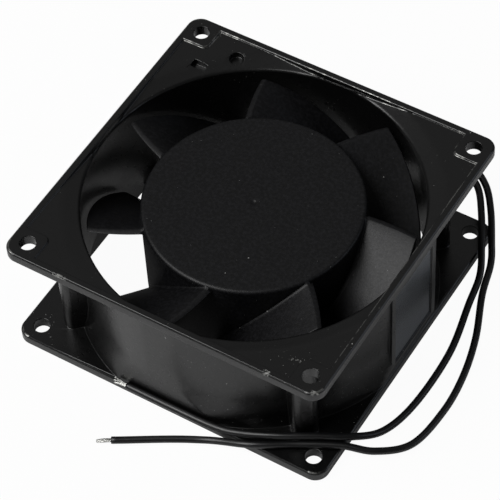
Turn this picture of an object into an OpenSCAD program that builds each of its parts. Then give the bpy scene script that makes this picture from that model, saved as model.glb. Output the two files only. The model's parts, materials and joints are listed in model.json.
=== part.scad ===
// Square axial cooling fan with a die-cast frame, an outer-rotor motor and two lead wires.
// Origin on the fan's axis at the exhaust face, +Z up towards the intake.

/* [Frame] */
// Side of the square flanges
frame_w = 92.5; // [91:0.5:94]
// Depth of the frame from exhaust face to intake face
frame_h = 38; // [37:0.5:42]
// Thickness of each flange
flange_t = 3.2; // [2.4:0.1:4]
// Radius of the flange corners
corner_r = 3.8; // [2.5:0.1:4.6]
// Bevel on the flange edges
edge_bevel = 0.4; // [0.2:0.05:0.6]
// Distance from a mounting hole's axis in from the flange edge
hole_inset = 5; // [4.6:0.1:5.8]
// Diameter of the mounting holes
hole_d = 4.4; // [3.4:0.1:5]
// Width of the raised rim round the intake face
rim_w = 1.95; // [1.6:0.05:2.4]
// Depth of the field inside the rim
field_d = 0.55; // [0.3:0.05:0.7]
// Distance from a hole's axis to the inner edge of its raised pad
pad_reach = 4.2; // [3.4:0.1:5]
// Radius of the pad's inner corner
pad_r = 1.8; // [1:0.1:2.4]

/* [Duct] */
// Distance from the flange edge in to the duct's throat
throat_inset = 2.05; // [1.6:0.05:2.6]
// Radius of the rounding at the intake edge
inlet_r = 1; // [0.6:0.1:1.4]
// How far the face round the opening dips from the field to that edge
dish_d = 1.1; // [0.6:0.1:1.2]
// Width of the dip outside the edge
dish_w = 3.8; // [2.6:0.1:4.2]
// How far the exhaust bell flares out from the throat
bell_flare = 3.4; // [2:0.1:3.8]
// Height of the exhaust bell
bell_h = 13; // [8:0.5:16]
// Thickness of the duct wall
wall_t = 1.7; // [1.2:0.1:2.2]
// Step from the flange edge in to the flat sides of the wall
wall_ledge = 0.5; // [0.3:0.05:0.7]
// Thickness of each corner web
web_t = 6.8; // [4:0.2:9]
// Distance from a mounting hole's axis in to the end of its corner web
web_gap = 6.1; // [5.6:0.1:8]
// Radius of the corner web's upright edges
web_r = 0.8; // [0.4:0.1:1.5]
// Width of the raised panel on the side wall
panel_w = 22.6; // [16:0.2:26]
// Sideways shift of the panel from the middle of the wall
panel_shift = 2.1; // [0:0.1:4]
// Width of the border round the panel's recess
panel_border = 1.9; // [1.2:0.1:3]
// Depth of the panel's recess
panel_d = 0.4; // [0.2:0.05:0.6]
// Depth of the two small cast pockets in the intake face
pocket_d = 0.7; // [0.4:0.05:0.8]
// Diameter of the round pocket
pocket_round_d = 3.8; // [3:0.1:4.2]
// Length of the rectangular pocket
pocket_l = 4; // [3:0.1:4.6]
// Width of the rectangular pocket
pocket_w = 2.4; // [1.6:0.1:2.6]
// Distance from the throat out to the middle of both pockets
pocket_gap = 3.7; // [3.4:0.1:4.2]

/* [Motor base] */
// Radius of the motor base
base_r = 28.2; // [27:0.1:29]
// Height of the base's underside above the exhaust face
base_lift = 0.8; // [0.4:0.1:1.2]
// Thickness of the motor base
base_t = 2.8; // [2.2:0.1:3.4]
// Radius of the boss that holds the bearing tube
boss_r = 8; // [7:0.1:8.6]
// Height of that boss above the base
boss_h = 3; // [2:0.1:3.6]
// Sideways offset of each strut from the axis
strut_shift = 16; // [15:0.5:18]
// Width of a plain strut at its foot
strut_w = 4.4; // [3:0.1:6]
// Width of a plain strut at its top
strut_top_w = 2.6; // [1.6:0.1:3]
// Height of a plain strut
strut_h = 4.6; // [3.6:0.1:5.2]
// Thickness of the side walls of the lead channel
channel_wall = 1.2; // [0.8:0.1:1.6]

/* [Impeller] */
// Outer radius of the hub
hub_r = 29.05; // [28.6:0.05:30.5]
// Depth of the hub's face below the intake face
hub_drop = 3; // [1:0.1:4]
// Gap between the motor base and the hub's lower rim
skirt_gap = 3.4; // [3:0.1:4.5]
// Radius of the hub's upper edge
hub_edge_r = 1; // [0.5:0.1:1.5]
// Thickness of the hub's side wall
hub_wall = 1.6; // [1.4:0.1:2]
// Thickness of the hub's face
hub_roof = 2; // [1.5:0.1:2.6]
// Diameter of the moulding gate's dimple in the hub's face
gate_d = 1.6; // [1:0.1:2.4]
// Depth of that dimple
gate_depth = 0.3; // [0.2:0.05:0.5]
// Number of blades
blade_n = 7; // [5:1:9]
// Running gap between blade tips and throat
tip_gap = 1.3; // [1:0.1:2]
// Depth of the blades' leading edges below the hub's face
blade_drop = 0.9; // [0.8:0.1:2]
// Height of a blade from trailing to leading edge
blade_h = 23.6; // [18:0.2:24.5]
// Angle that a blade winds round the hub
blade_wrap = 51; // [40:1:54]
// Angle that the leading edge's tip lies behind its root
blade_sweep = 7; // [0:0.5:12]
// Share of the blade's fall that is curved
blade_camber = 0.35; // [0:0.05:0.5]
// Blade thickness at the root
blade_root_t = 2.2; // [1.6:0.1:2.8]
// Blade thickness at the tip
blade_tip_t = 1.5; // [1:0.1:2]
// Angle of the first blade's root
blade_start = 22; // [0:1:50]

/* [Bearing] */
// Shaft diameter
shaft_d = 4; // [3.5:0.1:4.4]
// Running clearance all round the shaft
shaft_clear = 0.03; // [0.02:0.005:0.06]
// Thickness of the bearing sleeves
bearing_t = 2; // [1.6:0.1:2.4]
// Length of each bearing sleeve
bearing_l = 6; // [4:0.5:7]
// Thickness of the bearing tube
tube_t = 1.2; // [0.8:0.1:1.4]
// Length of the bearing tube
tube_l = 24.7; // [22:0.1:25]
// Depth of the tube's lower end inside the base
tube_inset = 0.8; // [0.5:0.1:1]
// Thickness of the thrust washers
washer_t = 0.4; // [0.3:0.05:0.5]
// Thickness of the retaining clip
clip_t = 0.5; // [0.4:0.05:0.6]
// Depth of the clip's groove in the shaft
groove_d = 0.4; // [0.3:0.05:0.6]
// Thickness of the end plug
plug_t = 1; // [0.8:0.1:1.2]

/* [Stator and rotor] */
// Outer radius of the stator core
stator_r = 22; // [21:0.1:22.6]
// Height of the stator's stack of plates
stack_h = 11; // [8:0.5:12]
// Height of the stack above the motor base
stack_lift = 8.4; // [8.2:0.1:9]
// Radius of the stator core's hub
core_hub_r = 9; // [8:0.1:9.4]
// Width of a pole's neck
neck_w = 7; // [5:0.1:8]
// Thickness of a pole shoe
shoe_t = 3.2; // [2.6:0.1:3.6]
// Angle that a pole shoe covers
shoe_angle = 76; // [66:1:78]
// Thickness of the insulators
insulator_t = 0.7; // [0.5:0.1:0.9]
// Thickness of a coil's winding
coil_t = 3.2; // [2:0.1:3.3]
// Width of a shading ring's copper bar
shade_t = 1.2; // [0.8:0.1:1.3]
// Air gap between stator and rotor
air_gap = 0.3; // [0.25:0.05:0.5]
// How much taller the rotor core is than the stack
core_extra = 1.5; // [0:0.1:1.6]
// Height of the cage's end rings
end_ring_h = 1.6; // [1:0.1:1.7]
// Number of bars in the cage
bar_n = 15; // [9:2:19]
// Diameter of a cage bar
bar_d = 1.6; // [1:0.1:2]
// Wall thickness of the rotor cup
cup_t = 1.2; // [1:0.1:1.4]
// Radius of the bush that joins the cup to the shaft
bush_r = 6; // [5:0.1:7]
// Thickness of the terminal board
board_t = 1.2; // [0.8:0.1:1.4]
// Diameter of the terminal pins
pin_d = 1; // [0.8:0.1:1.2]

/* [Leads] */
// Outer diameter of a lead wire
lead_d = 1.9; // [1.5:0.1:2]
// Distance between the two leads in the strut channel
lead_pitch = 2.2; // [2.2:0.1:2.6]
// Gap between the motor base and the leads on it
lead_lift = 0.25; // [0.1:0.05:0.4]
// Diameter of the bare tinned end
tip_d = 1.1; // [0.8:0.1:1.3]
// Length of the bare tinned end
tip_l = 4; // [3:0.5:6]
// Gap round a lead in its grommet
grommet_gap = 0.05; // [0.03:0.01:0.1]
// Wall of the grommet beside the leads
grommet_wall = 0.7; // [0.5:0.1:1]
// How far the grommet's outer face lies inside the flange edge
grommet_inset = 0.25; // [0.1:0.05:0.5]

/* [Hidden] */
$fn = 64;

// Gap left between pieces that seat in one another
seat = 0.02;
// Overlap of shapes that are joined or cut
over = 0.5;
casting = [0.13, 0.13, 0.14];
moulded = [0.09, 0.09, 0.095];
insulation = [0.06, 0.06, 0.065];
copper = [0.72, 0.42, 0.25];
steel = [0.62, 0.63, 0.65];
bronze = [0.6, 0.47, 0.3];
nylon = [0.85, 0.83, 0.76];

// Frame and duct
hole_at = frame_w / 2 - hole_inset;
throat_r = frame_w / 2 - throat_inset;
web_reach = hole_at * sqrt(2) - web_gap;
pocket_reach = throat_r + pocket_gap;
flat_in = frame_w / 2 - rim_w;
flat_out = frame_w / 2 - wall_ledge;
field_z = frame_h - field_d;
edge_z = field_z - dish_d;
dish_r = throat_r + inlet_r + dish_w;
bell_steps = 8;
arc_steps = 4;
panel_z0 = flange_t + panel_border;
panel_z1 = frame_h - flange_t - panel_border;
round_pocket_angle = 126.6;
bar_pocket_angle = 138.8;

// Motor base and leads
base_top = base_lift + base_t;
lead_z = base_top + lead_lift + lead_d / 2;
exit_y = frame_w / 2 - grommet_inset;
window_w = lead_pitch + lead_d + 2 * grommet_wall;
window_top = lead_z + lead_d / 2 + grommet_wall;
grommet_in = sqrt(pow(throat_r, 2) - pow(strut_shift + window_w / 2, 2));
channel_w = lead_pitch + lead_d + 2 * grommet_gap;
channel_top = lead_z + lead_d / 2;

// Bearing
shaft_r = shaft_d / 2;
bearing_bore = shaft_r + shaft_clear;
bearing_r = bearing_bore + bearing_t;
tube_bore = bearing_r + seat;
tube_r = tube_bore + tube_t;
tube_z = base_lift + tube_inset;
tube_top = tube_z + tube_l;
upper_bearing_z = tube_top - bearing_l;
washer_gap = 0.05;
washer_room = 1;
washer_r = tube_bore - washer_room;
plug_gap = 0.2;
shaft_tail = 0.45;
shaft_end_z = tube_z + plug_t + plug_gap;
clip_z = shaft_end_z + shaft_tail;
lower_bearing_z = clip_z + clip_t + washer_t + washer_gap;

// Hub and blades
hub_top = frame_h - hub_drop;
hub_z = base_top + skirt_gap;
hub_bore = hub_r - hub_wall;
blade_tip_r = throat_r - tip_gap;
blade_root_r = hub_r - hub_wall / 2;
blade_top = hub_top - blade_drop;
blade_rows = 7;
blade_cols = 12;
edge_share = 0.45;
step = 0.001;

// Stator and rotor
stack_z = base_top + stack_lift;
stack_top = stack_z + stack_h;
core_bore = tube_r + seat;
shoe_r = stator_r - shoe_t;
half_shoe = shoe_angle / 2;
coil_in = core_hub_r + insulator_t;
coil_half = neck_w / 2 + insulator_t + coil_t;
coil_corner_r = shoe_r - insulator_t;
coil_out = sqrt(pow(coil_corner_r, 2) - pow(coil_half, 2));
shade_in = stator_r - 2 * shade_t + seat;
shade_from = 12;
shade_past = 2.5;
shade_bar = 3;
shade_slack = 1;
cup_r = hub_bore - seat;
cup_bore = cup_r - cup_t;
cup_rise = 1;
cup_z = hub_z + cup_rise;
cup_top = hub_top - hub_roof;
ring_out = cup_bore - seat;
ring_in = stator_r + air_gap;
bar_at = (ring_in + ring_out) / 2;
core_z = stack_z - core_extra / 2;
core_top = stack_top + core_extra / 2;
bush_z = tube_top + 2 * washer_gap + washer_t;
post_r = 1.6;
post_at = shoe_r - post_r / 2;
board_drop = 4;
board_top = stack_z - insulator_t - board_drop;
board_in = 10.5;
board_edge = 0.4;
board_out = strut_shift + lead_pitch / 2 + pin_d + board_edge;
pin_shift = 1;
pin_y = strut_shift + pin_shift;
pin_up = 0.5;

// Routes of the free leads over the surface that the fan lies on, after the grommet's outer face
route_1 = [
    [15.2, 51, 5], [19, 56.5, 6], [26, 59, 7.4], [33, 57.8, 8.2], [39, 54, 8], [43.6, 48.2, 6.8],
    [47.8, 41, 4.2], [50.6, 35.4, 1.8], [53.2, 25.8, 1], [58.4, 12.5, 1], [61.4, 0, 1], [62.2, -12, 1],
    [60.4, -24.9, 1.7], [53.9, -32.4, 3.4], [45.8, -35.8, 4.4], [35.6, -41.15, 4.25], [26, -46.7, 4.2],
    [13, -50, 1], [-6.5, -61.3, 1]
];
route_2 = [
    [17.2, 50, 5], [20.5, 54, 6], [26.4, 56.2, 7.2], [32.4, 55.4, 8], [37.6, 52.2, 7.9], [42, 45.9, 6.9],
    [46.6, 37.6, 4.8], [49.9, 30.6, 2], [51.6, 21.4, 1], [54.8, 5, 1], [54.8, -13, 1],
    [52.3, -25, 2], [47.3, -32.4, 5], [40.3, -37, 6.1], [31.7, -41.85, 6.1], [22.8, -45.2, 4.9],
    [15.5, -46.6, 4.2], [2, -46.75, 3.9], [-11, -46.75, 3.9]
];
rings_per_span = 2;
lead_sides = 8;

// Radius of the duct's bore at height z
function bell(z) = throat_r + bell_flare * pow(max(0, 1 - z / bell_h), 2);

// Point at share t of the span after point i of a smooth curve through the points p
function spline(p, i, t) =
    let (n = len(p) - 1,
         a = p[max(i - 1, 0)],
         b = p[i],
         c = p[min(i + 1, n)],
         d = p[min(i + 2, n)])
    b + ((c - a) * t + (2 * a - 5 * b + 4 * c - d) * t * t + (3 * b - a - 3 * c + d) * t * t * t) / 2;

// Centreline of a lead, kept on or above the surface that it lies on
function route_line(p) =
    [for (k = [0 : rings_per_span * (len(p) - 1)])
        let (i = min(floor(k / rings_per_span), len(p) - 2),
             q = spline(p, i, k / rings_per_span - i))
        [q.x, q.y, max(q.z, lead_d / 2)]];

function unit(v) = v / norm(v);
function along(p, k) = unit(p[min(k + 1, len(p) - 1)] - p[max(k - 1, 0)]);

// Tube of radius r along the centreline p, with both ends closed
module tube_along(p, r) {
    n = len(p);
    rings = [for (k = [0 : n - 1])
        let (d = k == 0 ? [0, 1, 0] : along(p, k),
             side = unit(cross(d, [0, 0, 1])),
             up = cross(side, d))
        for (j = [0 : lead_sides - 1])
            p[k] + r * (cos(360 * j / lead_sides) * side + sin(360 * j / lead_sides) * up)];
    walls = [for (k = [0 : n - 2])
        for (j = [0 : lead_sides - 1])
            let (m = (j + 1) % lead_sides)
            [k * lead_sides + j, k * lead_sides + m, (k + 1) * lead_sides + m, (k + 1) * lead_sides + j]];
    near_end = [for (j = [0 : lead_sides - 1]) lead_sides - 1 - j];
    far_end = [for (j = [0 : lead_sides - 1]) (n - 1) * lead_sides + j];
    polyhedron(rings, concat(walls, [near_end, far_end]));
}

module ring(outer, inner, h) {
    difference() {
        cylinder(r = outer, h = h);
        translate([0, 0, -over]) cylinder(r = inner, h = h + 2 * over);
    }
}

// Flat sector between two radii and two angles, under half a turn
module sector(inner, outer, from, to) {
    far = outer / cos((to - from) / 2) + over;
    intersection() {
        difference() {
            circle(r = outer);
            circle(r = inner);
        }
        polygon([[0, 0], far * [cos(from), sin(from)], far * [cos(to), sin(to)]]);
    }
}

// Square plate with round corners and bevelled edges
module bevelled_plate(w, t, r, c) {
    s = w / 2 - r;
    for (x = [-s, s], y = [-s, s])
        translate([x, y, 0])
            rotate_extrude()
                polygon([[0, 0], [r - c, 0], [r, c], [r, t - c], [r - c, t], [0, t]]);
    for (a = [0, 90])
        rotate([90, 0, a])
            linear_extrude(2 * s, center = true)
                polygon([
                    [c - w / 2, 0], [w / 2 - c, 0], [w / 2, c], [w / 2, t - c],
                    [w / 2 - c, t], [c - w / 2, t], [-w / 2, t - c], [-w / 2, c]
                ]);
}

// Square prism that cuts the round duct flat on its four sides
module flat_sides(half, h) {
    translate([-half, -half, -over]) cube([2 * half, 2 * half, h + 2 * over]);
}

// Solid of the duct's bore grown by extra, from height z0 to z1
module duct_solid(extra, z0, z1) {
    rotate_extrude()
        polygon(concat(
            [[0, z0]],
            [for (k = [0 : bell_steps])
                let (z = z0 + (bell_h - z0) * k / bell_steps)
                [bell(z) + extra, z]],
            [[throat_r + extra, z1], [0, z1]]
        ));
}

module duct_outside() {
    intersection() {
        duct_solid(wall_t, flange_t / 2, frame_h - flange_t / 2);
        flat_sides(flat_out, frame_h);
    }
}

module duct_bore() {
    intersection() {
        rotate_extrude()
            polygon(concat(
                [[0, -over], [bell(0), -over]],
                [for (k = [0 : bell_steps]) [bell(bell_h * k / bell_steps), bell_h * k / bell_steps]],
                [for (k = [0 : arc_steps])
                    let (a = 90 * k / arc_steps)
                    [throat_r + inlet_r * (1 - cos(a)), edge_z - inlet_r * (1 - sin(a))]],
                [[dish_r, field_z], [dish_r, frame_h + over], [0, frame_h + over]]
            ));
        flat_sides(flat_in, frame_h);
    }
}

// Outline of the raised pad round one mounting hole, with a rounded inner corner
module pad_outline() {
    translate([pad_r - pad_reach, pad_r - pad_reach]) circle(pad_r);
    translate([pad_r - pad_reach, -pad_reach]) square([pad_reach - pad_r + hole_inset, pad_reach + hole_inset]);
    translate([-pad_reach, pad_r - pad_reach]) square([pad_reach + hole_inset, pad_reach - pad_r + hole_inset]);
}

// Field sunk inside the rim of the intake face, round the four pads
module intake_field() {
    translate([0, 0, field_z])
        linear_extrude(field_d + over)
            difference() {
                square(2 * flat_in, center = true);
                for (a = [0 : 90 : 270])
                    rotate(a) translate([hole_at, hole_at]) pad_outline();
            }
}

module corner_web() {
    start = throat_r + wall_t / 2;
    translate([0, 0, flange_t / 2])
        linear_extrude(frame_h - flange_t) {
            translate([start, web_r - web_t / 2]) square([web_reach - start, web_t - 2 * web_r]);
            translate([start, -web_t / 2]) square([web_reach - web_r - start, web_t]);
            for (y = [web_r - web_t / 2, web_t / 2 - web_r])
                translate([web_reach - web_r, y]) circle(web_r);
        }
}

module side_panel() {
    translate([throat_r - inlet_r / 2, panel_shift - panel_w / 2, flange_t / 2])
        cube([flat_out - throat_r + inlet_r / 2, panel_w, frame_h - flange_t]);
}

module panel_recess() {
    translate([flat_out - panel_d, panel_shift - panel_w / 2 + panel_border, panel_z0])
        cube([panel_d + over, panel_w - 2 * panel_border, panel_z1 - panel_z0]);
}

// Two small cast pockets beside the intake opening
module pockets() {
    translate([0, 0, edge_z - pocket_d]) {
        rotate(round_pocket_angle)
            translate([pocket_reach, 0, 0]) cylinder(d = pocket_round_d, h = pocket_d + frame_h - edge_z);
        rotate(bar_pocket_angle)
            translate([pocket_reach, 0, 0])
                rotate(-bar_pocket_angle)
                    translate([-pocket_l / 2, -pocket_w / 2, 0])
                        cube([pocket_l, pocket_w, pocket_d + frame_h - edge_z]);
    }
}

// Bar along +Y at the strut's offset, long enough to reach into the duct wall
module strut_bar(foot_w, top_w, h) {
    translate([strut_shift, flat_out, base_lift])
        rotate([90, 0, 0])
            linear_extrude(flat_out)
                polygon([[-foot_w / 2, 0], [foot_w / 2, 0], [top_w / 2, h], [-top_w / 2, h]]);
}

// Struts from the motor base to the middle of the duct wall
module struts() {
    intersection() {
        difference() {
            union() {
                for (a = [90, 180, 270]) rotate(a) strut_bar(strut_w, strut_top_w, strut_h);
                strut_bar(channel_w + 2 * channel_wall, channel_w + 2 * channel_wall, channel_top - base_lift);
            }
            translate([0, 0, base_lift - over]) cylinder(r = base_r - over, h = strut_h + channel_top);
        }
        duct_solid(wall_t / 2, 0, frame_h / 2);
        flat_sides((flat_in + flat_out) / 2, frame_h);
    }
}

module lead_channel() {
    translate([strut_shift - channel_w / 2, 0, base_top])
        cube([channel_w, throat_r, channel_top - base_top + over]);
}

module lead_window() {
    translate([strut_shift - window_w / 2, grommet_in - seat, flange_t])
        cube([window_w, frame_w / 2, window_top - flange_t]);
}

module frame() {
    color(casting)
        difference() {
            union() {
                difference() {
                    union() {
                        bevelled_plate(frame_w, flange_t, corner_r, edge_bevel);
                        translate([0, 0, frame_h - flange_t])
                            bevelled_plate(frame_w, flange_t, corner_r, edge_bevel);
                        duct_outside();
                        side_panel();
                        for (a = [45 : 90 : 315]) rotate(a) corner_web();
                    }
                    duct_bore();
                    panel_recess();
                }
                struts();
                translate([0, 0, base_lift]) cylinder(r = base_r, h = base_t);
                translate([0, 0, base_lift]) cylinder(r = boss_r, h = base_t + boss_h);
            }
            intake_field();
            pockets();
            lead_channel();
            lead_window();
            translate([0, 0, -over]) cylinder(r = tube_r + seat, h = frame_h);
            for (x = [-hole_at, hole_at], y = [-hole_at, hole_at])
                translate([x, y, -over]) cylinder(d = hole_d, h = frame_h + 2 * over);
        }
}

module bearing_tube() {
    color(steel)
        translate([0, 0, tube_z]) ring(tube_r, tube_bore, tube_l);
}

module bearing(z) {
    color(bronze)
        translate([0, 0, z]) ring(bearing_r, bearing_bore, bearing_l);
}

module lower_bearing() {
    bearing(lower_bearing_z);
}

module upper_bearing() {
    bearing(upper_bearing_z);
}

module oil_felt() {
    low = lower_bearing_z + bearing_l + seat;
    color("gainsboro")
        translate([0, 0, low]) ring(bearing_r, shaft_r + over, upper_bearing_z - seat - low);
}

module end_plug() {
    color(insulation)
        translate([0, 0, tube_z]) cylinder(r = tube_bore - seat, h = plug_t);
}

module core_outline() {
    difference() {
        union() {
            circle(core_hub_r);
            for (a = [0 : 90 : 270])
                rotate(a) {
                    translate([0, -neck_w / 2]) square([shoe_r + shoe_t / 2, neck_w]);
                    sector(shoe_r, stator_r, -half_shoe, half_shoe);
                }
        }
        circle(core_bore);
        for (a = [0 : 90 : 270])
            rotate(a)
                sector(shade_in - seat, stator_r + over,
                       shade_from - shade_slack, shade_from + shade_bar + shade_slack);
    }
}

module stator_core() {
    color(steel)
        translate([0, 0, stack_z]) linear_extrude(stack_h) core_outline();
}

// Plate on one end of the core, with walls that reach half-way along the pole necks
module insulator() {
    arm_w = neck_w + 2 * insulator_t;
    linear_extrude(insulator_t)
        difference() {
            union() {
                circle(core_hub_r);
                for (a = [0, 90]) rotate(a) square([2 * shoe_r, arm_w - 2 * seat], center = true);
                difference() {
                    circle(shade_in - 2 * seat);
                    circle(coil_corner_r + seat);
                }
            }
            circle(core_bore);
        }
    for (a = [0 : 90 : 270], side = [0, 1])
        rotate(a)
            mirror([0, side, 0])
                translate([coil_in, neck_w / 2 + seat, insulator_t - seat])
                    cube([coil_out - coil_in, insulator_t - 2 * seat, stack_h / 2]);
}

module lower_insulator() {
    color(nylon) {
        translate([0, 0, stack_z - insulator_t]) insulator();
        rotate(45)
            translate([post_at, 0, board_top])
                cylinder(r = post_r, h = stack_z - insulator_t / 2 - board_top);
    }
}

module upper_insulator() {
    color(nylon)
        translate([0, 0, stack_top + insulator_t]) mirror([0, 0, 1]) insulator();
}

// Winding round one pole's neck
module coil(k) {
    in_w = neck_w + 2 * insulator_t;
    in_h = stack_h + 2 * insulator_t;
    color(copper)
        rotate(90 * (k - 1))
            translate([coil_in + seat, 0, stack_z + stack_h / 2])
                rotate([90, 0, 90])
                    linear_extrude(coil_out - coil_in - 2 * seat)
                        difference() {
                            coil_outline(in_w, in_h);
                            square([in_w, in_h], center = true);
                        }
}

// Outside of a winding: the neck's rectangle, grown by the winding with round corners
module coil_outline(w, h) {
    square([w + 2 * coil_t, h], center = true);
    square([w, h + 2 * coil_t], center = true);
    for (x = [-w / 2, w / 2], y = [-h / 2, h / 2])
        translate([x, y]) circle(coil_t);
}

// Copper loop round the trailing third of a pole shoe
module shading_ring(k) {
    from = shade_from;
    to = half_shoe + shade_past;
    out = stator_r - seat;
    color(copper)
        rotate(90 * (k - 1))
            difference() {
                translate([0, 0, stack_z - shade_t])
                    linear_extrude(stack_h + 2 * shade_t)
                        sector(shade_in, out, from, to + shade_bar);
                translate([0, 0, stack_z - seat])
                    linear_extrude(stack_h + 2 * seat)
                        sector(shade_in - over, stator_r + over, from + shade_bar, to);
            }
}

module coil_1() {
    coil(1);
}

module coil_2() {
    coil(2);
}

module coil_3() {
    coil(3);
}

module coil_4() {
    coil(4);
}

module shading_ring_1() {
    shading_ring(1);
}

module shading_ring_2() {
    shading_ring(2);
}

module shading_ring_3() {
    shading_ring(3);
}

module shading_ring_4() {
    shading_ring(4);
}

module terminal_board() {
    color("darkgoldenrod")
        difference() {
            translate([board_in, board_in, board_top - board_t])
                cube([board_out - board_in, board_out - board_in, board_t]);
            for (side = [-1, 1])
                translate([strut_shift + side * lead_pitch / 2, pin_y, board_top - board_t - over])
                    cylinder(d = pin_d + 2 * seat, h = board_t + 2 * over);
        }
}

module terminal_pins() {
    color(steel)
        for (side = [-1, 1])
            translate([strut_shift + side * lead_pitch / 2, pin_y, lead_z - lead_d / 2])
                cylinder(d = pin_d, h = board_top + pin_up - lead_z + lead_d / 2);
}

module lead_grommet() {
    wide = window_w - 2 * grommet_gap;
    low = flange_t + seat;
    color(insulation)
        difference() {
            translate([strut_shift - wide / 2, grommet_in, low])
                cube([wide, exit_y - grommet_in, window_top - grommet_gap - low]);
            for (side = [-1, 1])
                translate([strut_shift + side * lead_pitch / 2, grommet_in - over, lead_z])
                    rotate([-90, 0, 0]) cylinder(d = lead_d + 2 * grommet_gap, h = frame_w);
        }
}

// Stretch of a lead that lies in the strut's channel
module lead_run(side) {
    from = pin_y + pin_d / 2 + grommet_gap;
    color(insulation)
        translate([strut_shift + side * lead_pitch / 2, from, lead_z])
            rotate([-90, 0, 0]) cylinder(d = lead_d, h = exit_y - from);
}

module lead_run_1() {
    lead_run(-1);
}

module lead_run_2() {
    lead_run(1);
}

// Centreline of a free lead from the grommet's outer face
function lead_line(side, route) =
    route_line(concat([[strut_shift + side * lead_pitch / 2, exit_y, lead_z]], route));

module lead(side, route) {
    color(insulation) tube_along(lead_line(side, route), lead_d / 2);
}

// Bare twisted strands at a lead's end
module lead_tip(side, route) {
    p = lead_line(side, route);
    n = len(p) - 1;
    d = unit(p[n] - p[n - 1]);
    color("silver")
        translate(p[n])
            rotate([0, 0, atan2(d.y, d.x)])
                rotate([0, acos(d.z), 0]) cylinder(d = tip_d, h = tip_l);
}

module lead_1() {
    lead(-1, route_1);
}

module lead_2() {
    lead(1, route_2);
}

module lead_tip_1() {
    lead_tip(-1, route_1);
}

module lead_tip_2() {
    lead_tip(1, route_2);
}

// Point of a blade's middle surface: u from root to tip, t from leading to trailing edge
function blade_mid(u, t) =
    let (r = blade_root_r + u * (blade_tip_r - blade_root_r),
         a = -blade_sweep * u * (1 - t) - blade_wrap * t)
    [r * cos(a), r * sin(a), blade_top - blade_h * ((1 - blade_camber) * t + blade_camber * t * t)];

function blade_normal(u, t) =
    unit(cross(blade_mid(u + step, t) - blade_mid(u - step, t),
               blade_mid(u, t + step) - blade_mid(u, t - step)));

// Half thickness: thinner towards the tip and towards both edges
function blade_half(u, t) =
    (blade_root_t + u * (blade_tip_t - blade_root_t)) / 2 * (edge_share + (1 - edge_share) * sqrt(sin(180 * t)));

// Lofted blade: a grid of points on each side of the middle surface, closed round its rim
module blade() {
    n = blade_rows;
    m = blade_cols;
    sides = [for (s = [1, -1])
        for (i = [0 : n - 1])
            for (j = [0 : m - 1])
                let (u = i / (n - 1), t = j / (m - 1))
                blade_mid(u, t) + s * blade_half(u, t) * blade_normal(u, t)];
    function at(s, i, j) = s * n * m + i * m + j;
    function split(a, b, c, d) = [[a, b, c], [a, c, d]];
    top = [for (i = [0 : n - 2], j = [0 : m - 2])
        each split(at(0, i, j), at(0, i, j + 1), at(0, i + 1, j + 1), at(0, i + 1, j))];
    low = [for (i = [0 : n - 2], j = [0 : m - 2])
        each split(at(1, i, j), at(1, i + 1, j), at(1, i + 1, j + 1), at(1, i, j + 1))];
    ends = [for (j = [0 : m - 2])
        each concat(
            split(at(0, 0, j), at(1, 0, j), at(1, 0, j + 1), at(0, 0, j + 1)),
            split(at(0, n - 1, j), at(0, n - 1, j + 1), at(1, n - 1, j + 1), at(1, n - 1, j)))];
    edges = [for (i = [0 : n - 2])
        each concat(
            split(at(0, i, 0), at(0, i + 1, 0), at(1, i + 1, 0), at(1, i, 0)),
            split(at(0, i, m - 1), at(1, i, m - 1), at(1, i + 1, m - 1), at(0, i + 1, m - 1)))];
    polyhedron(sides, concat(top, low, ends, edges));
}

module hub() {
    h = hub_top - hub_z;
    e = hub_edge_r;
    difference() {
        translate([0, 0, hub_z])
            rotate_extrude() {
                square([hub_r - e, h]);
                square([hub_r, h - e]);
                translate([hub_r - e, h - e]) circle(e);
            }
        translate([0, 0, hub_z - over]) cylinder(r = hub_bore, h = h - hub_roof + over);
        translate([0, 0, hub_top - gate_depth])
            cylinder(d1 = gate_d / 2, d2 = gate_d, h = gate_depth + step);
    }
}

module impeller() {
    color(moulded) {
        hub();
        for (k = [0 : blade_n - 1]) rotate(blade_start + 360 * k / blade_n) blade();
    }
}

module rotor_cup() {
    color(steel)
        difference() {
            translate([0, 0, cup_z]) cylinder(r = cup_r, h = cup_top - seat - cup_z);
            translate([0, 0, cup_z - over]) cylinder(r = cup_bore, h = cup_top - cup_t - cup_z + over);
            translate([0, 0, cup_z]) cylinder(r = bush_r - cup_t + seat, h = cup_top);
        }
}

module cage_bars(d, z0, z1) {
    for (k = [0 : bar_n - 1])
        rotate(360 * k / bar_n) translate([bar_at, 0, z0]) cylinder(d = d, h = z1 - z0);
}

module rotor_core() {
    color(steel)
        difference() {
            translate([0, 0, core_z]) ring(ring_out, ring_in, core_top - core_z);
            cage_bars(bar_d + 2 * seat, core_z - over, core_top + over);
        }
}

module rotor_cage() {
    color("lightgray") {
        translate([0, 0, core_top]) ring(ring_out, ring_in, end_ring_h);
        translate([0, 0, core_z - end_ring_h]) ring(ring_out, ring_in, end_ring_h);
        cage_bars(bar_d, core_z - end_ring_h / 2, core_top + end_ring_h / 2);
    }
}

// Stepped bush: a collar under the cup's plate and a spigot through it
module rotor_bush() {
    color("goldenrod")
        difference() {
            union() {
                translate([0, 0, bush_z]) cylinder(r = bush_r, h = cup_top - cup_t - seat - bush_z);
                translate([0, 0, bush_z]) cylinder(r = bush_r - cup_t, h = cup_top - seat - bush_z);
            }
            translate([0, 0, bush_z - over]) cylinder(r = shaft_r + seat, h = cup_top);
        }
}

module shaft() {
    color(steel)
        difference() {
            translate([0, 0, shaft_end_z]) cylinder(r = shaft_r, h = cup_top - seat - shaft_end_z);
            translate([0, 0, clip_z - seat]) ring(shaft_d, shaft_r - groove_d, clip_t + 2 * seat);
        }
}

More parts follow.
